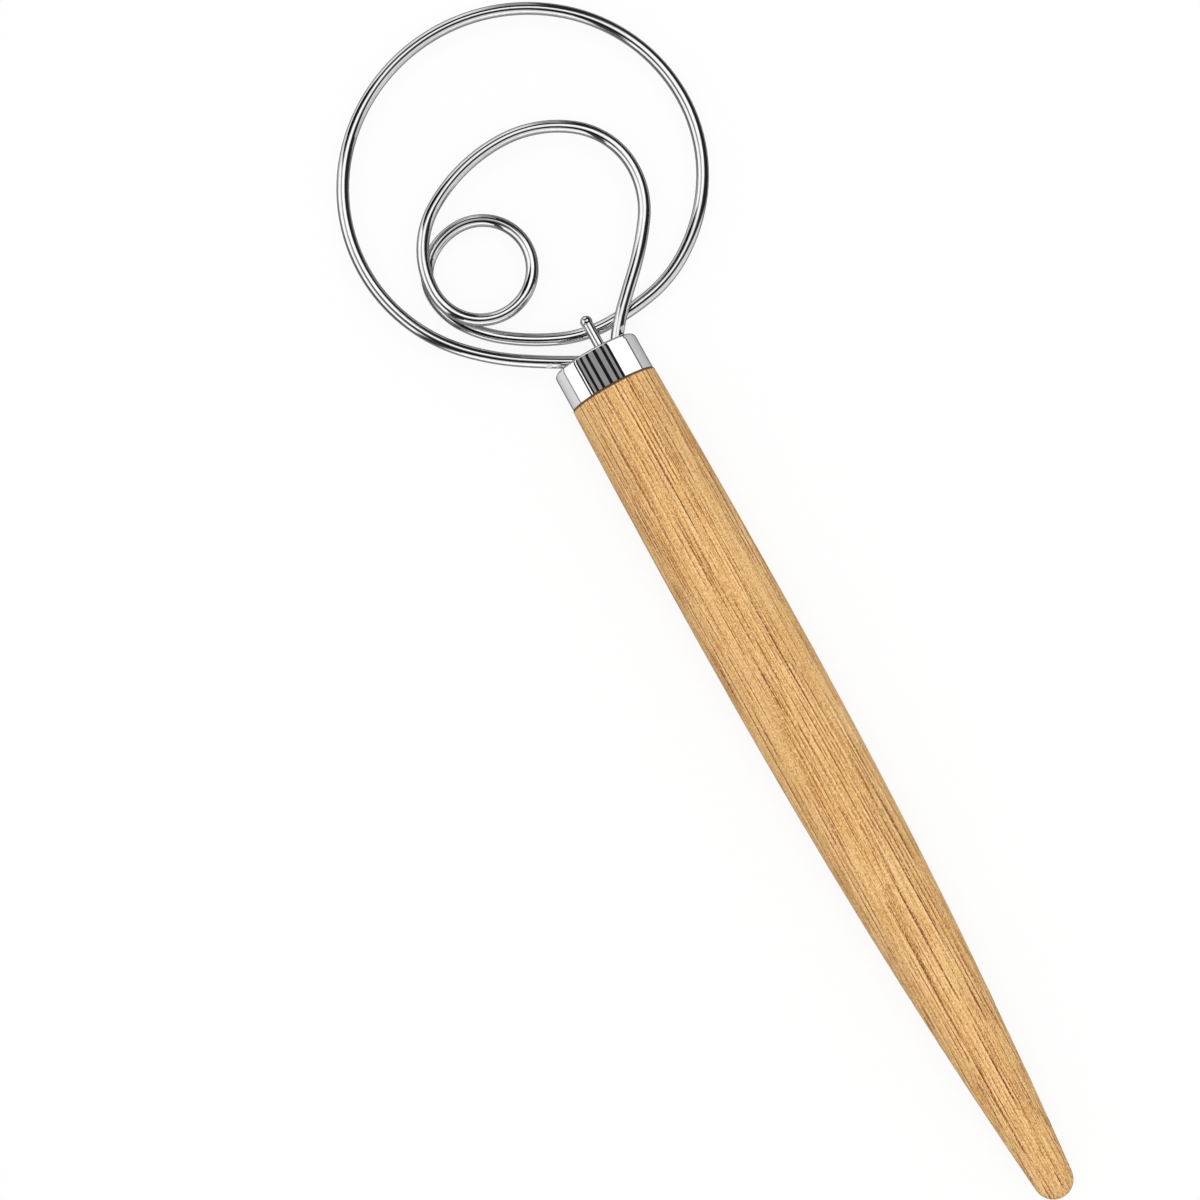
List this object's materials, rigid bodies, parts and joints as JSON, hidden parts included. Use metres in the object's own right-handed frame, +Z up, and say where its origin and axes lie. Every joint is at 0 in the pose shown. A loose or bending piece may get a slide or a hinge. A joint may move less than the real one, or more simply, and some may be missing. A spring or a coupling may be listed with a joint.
{
  "type": "dough whisk",
  "caption": "Round tapered wooden handle with a steel end cap and a flat head of one bent steel wire: an outer ring, an oval loop and a small round loop.",
  "frame": {"origin": "under the middle of the whole whisk's box, on the surface that the handle lies on", "axes": "+X along the handle's axis towards the wire head, +Y across with the small round loop on the +Y side, +Z up out of the flat head"},
  "size_m": [0.3291, 0.0942, 0.0242],
  "materials": {
    "handle_wood": "straight-grained golden oak, sanded, thin satin lacquer",
    "cap_steel": "polished stainless steel",
    "wire_steel": "polished stainless steel",
    "peg_steel": "polished stainless steel",
    "resin": "cured clear adhesive"
  },
  "bodies": {
    "root": {"wooden_handle": "handle_wood", "end_ferrule": "cap_steel", "whisk_wire": "wire_steel", "support_peg": "peg_steel", "resin_fill": "resin"}
  },
  "joints": []
}
